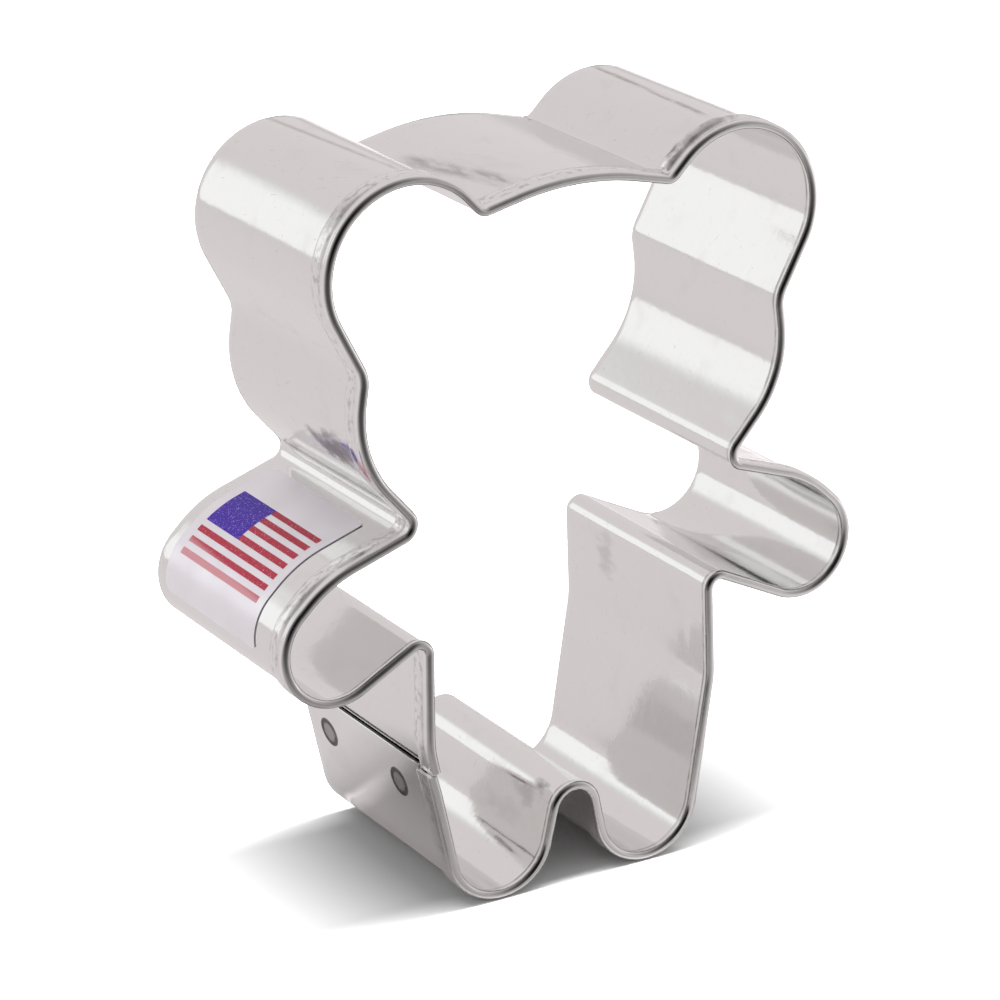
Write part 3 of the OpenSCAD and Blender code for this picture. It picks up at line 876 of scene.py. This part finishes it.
def weld_material():
    """Grey with a dark ring. The first coordinate runs from the middle to the edge of a mark."""
    pale, grey, burnt = (0.40, 0.385, 0.38), (0.28, 0.27, 0.265), (0.06, 0.056, 0.056)
    material, tree, shader = new_material("weld_scale")
    share = strip_axes(tree)["X"]
    grain = noise_map(tree, (5.0, 3.0, 1.0))
    uneven = smooth_step(tree, grain, low=0.3, high=0.7, to_low=-0.04, to_high=0.04)
    ring = within(tree, total(tree, share, uneven), rise=(0.50, 0.78), fall=(0.90, 1.02))
    tree.links.new(mixed(tree, ring, mixed(tree, grain, pale, grey), burnt), shader.inputs["Base Color"])
    shader.inputs["Metallic"].default_value = 1.0
    rough = smooth_step(tree, grain, low=0.3, high=0.7, to_low=0.28, to_high=0.42)
    tree.links.new(rough, shader.inputs["Roughness"])
    add_bump(tree, shader, grain, distance_mm=0.006)
    return material


def film_material():
    """A hazy silver-white film."""
    clear, milky = (0.965, 0.935, 0.99), (0.93, 0.90, 0.955)
    material, tree, shader = new_material("label_film")
    haze = noise_map(tree, (0.35, 0.35, 1.0))
    tree.links.new(mixed(tree, haze, clear, milky), shader.inputs["Base Color"])
    shader.inputs["Metallic"].default_value = 0.75
    rough = smooth_step(tree, haze, low=0.3, high=0.7, to_low=0.34, to_high=0.42)
    tree.links.new(rough, shader.inputs["Roughness"])
    add_bump(tree, shader, noise_map(tree, (0.5, 0.5, 1.0), detail=1.0), distance_mm=0.004)
    return material


def ink_material(name, full, thin, speck, worn, fade=None):
    """Printed ink with specks where the film shows through. A faded end is thinner."""
    material, tree, shader = new_material(name)
    grain = noise_map(tree, (8.5, 8.5, 1.0), detail=0.0)
    specks = smooth_step(tree, grain, low=worn, high=worn + 0.10)
    blotches = noise_map(tree, (0.9, 0.9, 4.0))
    colour = mixed(tree, blotches, full, thin)
    if fade:
        along, back, _ = strip_axes(tree)
        slanted = math_node(tree, "SUBTRACT", along, product(tree, back, 0.08))
        colour = mixed(tree, smooth_step(tree, slanted, *fade), colour, speck)
    tree.links.new(mixed(tree, specks, colour, speck), shader.inputs["Base Color"])
    shader.inputs["Roughness"].default_value = 0.34
    shader.inputs["Specular IOR Level"].default_value = 0.25
    add_bump(tree, shader, blotches, distance_mm=0.006)
    return material


# The studio

# The colour of what reflections see
GREY = (0.800, 0.762, 0.757)

# The photograph's direction, in degrees. The dark area that the rolled rim mirrors lies there.
CAMERA_AZIMUTH, CAMERA_ELEVATION = -31.5, 20.70

# Steps of light towards that area: a range of nearness, 1 being straight at it, and the light at its ends
DARK_STEPS = [
    (0.84, 0.95, 0.10, 0.004),
    (0.30, 0.80, 0.42, 0.0),
    (-0.17, 0.35, 0.48, 0.0),
]

# How much of what the tin throws back is kept off the floor
FLOOR_CUT = 0.8


def direction(azimuth, elevation):
    """Unit vector: azimuth 0 points to the front, -Y, and 90 to +X; degrees."""
    a, e = math.radians(azimuth), math.radians(elevation)
    return Vector((math.sin(a) * math.cos(e), -math.cos(a) * math.cos(e), math.sin(e)))


def studio_level(tree, looking):
    """What reflections see in a direction: a pale studio with one fixed dark area."""
    middle = direction(CAMERA_AZIMUTH, CAMERA_ELEVATION)
    nearness = vector_node(tree, "DOT_PRODUCT", looking, middle)["Value"]
    return total(tree, *[smooth_step(tree, nearness, *step) for step in DARK_STEPS])


def off_floor(tree, rays):
    """Less of what the tin throws back onto the floor."""
    from_floor = math_node(tree, "GREATER_THAN", rays["Diffuse Depth"], 0.5)
    return math_node(tree, "SUBTRACT", 1.0, product(tree, FLOOR_CUT, from_floor))


def make_world():
    """White to the camera. Reflections see the studio, a little darker low down in the right back."""
    diffuse_level, low_level = 0.24, 0.80
    white = (1.0, 1.0, 1.0)
    world = bpy.data.worlds.new("studio")
    bpy.context.scene.world = world
    world.use_nodes = True
    tree = world.node_tree
    tree.nodes.clear()
    rays = tree.nodes.new("ShaderNodeLightPath").outputs
    looking = tree.nodes.new("ShaderNodeTexCoord").outputs["Generated"]
    x, y, z = separated(tree, looking)
    azimuth = math_node(tree, "ARCTAN2", x, product(tree, y, -1.0))
    right_back = smooth_step(tree, azimuth, low=math.radians(90), high=math.radians(120))
    elsewhere = math_node(tree, "SUBTRACT", 1.0, right_back)
    skyline = smooth_step(tree, z, low=0.03, high=0.13, to_low=low_level, to_high=1.0)
    skyline = largest(tree, skyline, elsewhere)
    glossy_level = product(tree, studio_level(tree, looking), skyline, off_floor(tree, rays))
    plain = largest(tree, rays["Is Camera Ray"], rays["Is Transmission Ray"], diffuse_level)
    level = tree.nodes.new("ShaderNodeMix")
    level.data_type = "FLOAT"
    tree.links.new(rays["Is Glossy Ray"], level.inputs[0])
    tree.links.new(plain, level.inputs[2])
    tree.links.new(glossy_level, level.inputs[3])
    background = tree.nodes.new("ShaderNodeBackground")
    tree.links.new(mixed(tree, rays["Is Glossy Ray"], white, GREY), background.inputs["Color"])
    tree.links.new(level.outputs[0], background.inputs["Strength"])
    output = tree.nodes.new("ShaderNodeOutputWorld")
    tree.links.new(background.outputs[0], output.inputs["Surface"])


def make_floor():
    """A white sheet. Reflections see it as the studio, brighter in the cutter's shadow and to the right."""
    size, plain, overexposed = 1.5, 0.9, 2.3
    eye = (0.0, 0.0, 0.035)
    shadow_gain, right_gain = 3.4, 1.5
    material, tree, shader = new_material("floor_paper")
    tree.nodes.remove(shader)
    diffuse = tree.nodes.new("ShaderNodeBsdfDiffuse")
    rays = tree.nodes.new("ShaderNodeLightPath").outputs
    place = tree.nodes.new("ShaderNodeTexCoord").outputs["Object"]
    x, y, _ = separated(tree, place)
    outlook = vector_node(tree, "SUBTRACT", place, eye)["Vector"]
    looking = vector_node(tree, "NORMALIZE", outlook)["Vector"]
    off_x, off_y = math_node(tree, "ABSOLUTE", x), math_node(tree, "ABSOLUTE", y)
    beside = smooth_step(tree, off_x, low=0.009, high=0.019, to_low=1.0, to_high=0.0)
    behind = smooth_step(tree, off_y, low=0.0095, high=0.0125, to_low=1.0, to_high=0.0)
    in_shadow = total(tree, 1.0, product(tree, beside, behind, shadow_gain))
    to_right = smooth_step(tree, x, low=0.08, high=0.20, to_low=1.0, to_high=right_gain)
    gain = product(tree, in_shadow, to_right)
    level = product(tree, studio_level(tree, looking), off_floor(tree, rays), gain)
    tint = tree.nodes.new("ShaderNodeVectorMath")
    tint.operation = "SCALE"
    tint.inputs[0].default_value = GREY
    tree.links.new(level, tint.inputs["Scale"])
    seen = mixed(tree, rays["Is Camera Ray"], (plain,) * 3, (overexposed,) * 3)
    colour = mixed(tree, rays["Is Glossy Ray"], seen, tint.outputs["Vector"])
    tree.links.new(colour, diffuse.inputs["Color"])
    tree.links.new(diffuse.outputs[0], tree.nodes["Material Output"].inputs["Surface"])
    corners = [(-size, -size, 0), (size, -size, 0), (size, size, 0), (-size, size, 0)]
    new_object("floor", corners, [(0, 1, 2, 3)], [material])


def make_softbox():
    """A bright card behind and to the left, softer at its top, which only reflections see."""
    reach, low, low_angle, high_angle = 0.6, 0.03, math.radians(-0.5), math.radians(29)
    inner_side, outer_side = -158, -136
    bright, soft_from = 1.12, 0.72
    bottom, top = low + reach * math.tan(low_angle), low + reach * math.tan(high_angle)
    material, tree, shader = new_material("softbox")
    tree.nodes.remove(shader)
    glow = tree.nodes.new("ShaderNodeEmission")
    rays = tree.nodes.new("ShaderNodeLightPath").outputs
    place = tree.nodes.new("ShaderNodeTexCoord").outputs["Object"]
    height = separated(tree, place)["Z"]
    brightness = smooth_step(tree, height, top * soft_from, top, to_low=bright, to_high=GREY[0])
    tree.links.new(product(tree, brightness, off_floor(tree, rays)), glow.inputs["Strength"])
    tree.links.new(glow.outputs[0], tree.nodes["Material Output"].inputs["Surface"])
    corners = []
    for azimuth, z in ((outer_side, bottom), (inner_side, bottom), (inner_side, top), (outer_side, top)):
        d = direction(azimuth, 0)
        corners.append((d.x * reach, d.y * reach, z))
    card = new_object("softbox", corners, [(0, 1, 2, 3)], [material])
    card.visible_camera = False
    card.visible_diffuse = False
    card.visible_shadow = False


def make_lamp():
    """A long narrow strip of light overhead, wide across and narrow front to back."""
    high, wide, narrow, irradiance = 3.0, 3.9, 0.8, 0.76 * math.pi
    half = wide / 2
    per_radiance = narrow * (half / (high ** 2 + half ** 2) + math.atan(half / high) / high)
    data = bpy.data.lights.new("overhead", "AREA")
    data.shape = "RECTANGLE"
    data.size, data.size_y = wide, narrow
    data.energy = irradiance / per_radiance * math.pi * wide * narrow
    lamp = bpy.data.objects.new("overhead", data)
    bpy.context.scene.collection.objects.link(lamp)
    lamp.location = (0, 0, high)
    lamp.visible_glossy = False


def make_camera():
    """A long lens that looks from the photograph's direction."""
    distance = 0.3295
    aim_x, aim_z = -7.50, 35.46
    focal_px, picture_px, sensor = 4125, 1000, 36.0
    aim = Vector((aim_x * MM, -DEPTH / 2 * MM, aim_z * MM))
    data = bpy.data.cameras.new("camera")
    data.sensor_width = sensor
    data.lens = focal_px / picture_px * sensor
    data.clip_start, data.clip_end = 0.01, 20
    camera = bpy.data.objects.new("camera", data)
    bpy.context.scene.collection.objects.link(camera)
    back = direction(CAMERA_AZIMUTH, CAMERA_ELEVATION)
    camera.location = aim + back * distance
    camera.rotation_mode = "QUATERNION"
    camera.rotation_quaternion = (-back).to_track_quat("-Z", "Y")
    bpy.context.scene.camera = camera


# The scene

make_camera()
make_world()
make_floor()
make_softbox()
make_lamp()
bpy.context.scene.view_settings.view_transform = "Standard"

# The inks: full and thin colour, the worn specks' colour and how few they are, and where the red fades
RED = ((0.56, 0.024, 0.065), (0.60, 0.07, 0.11), (0.90, 0.46, 0.50), 0.71)
BLUE = ((0.075, 0.020, 0.46), (0.090, 0.032, 0.50), (0.32, 0.27, 0.74), 0.63)
BLACK = ((0.03, 0.03, 0.06), (0.06, 0.06, 0.10), (0.5, 0.5, 0.55), 0.72)
RED_FADE = (LABEL_END - 11.3, LABEL_END - 10.4, 0.8, 0.0)

pieces = {
    "band": make_band(tin_material(), cut_edge_material()),
    "spot_welds": make_welds(weld_material()),
    **make_label(
        film_material(),
        ink_material("red_ink", *RED, RED_FADE),
        ink_material("blue_ink", *BLUE),
        # The thin black line along the film's front edge
        ink_material("black_ink", *BLACK),
    ),
}
for node, piece in pieces.items():
    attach(piece, "root")
    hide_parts(node)
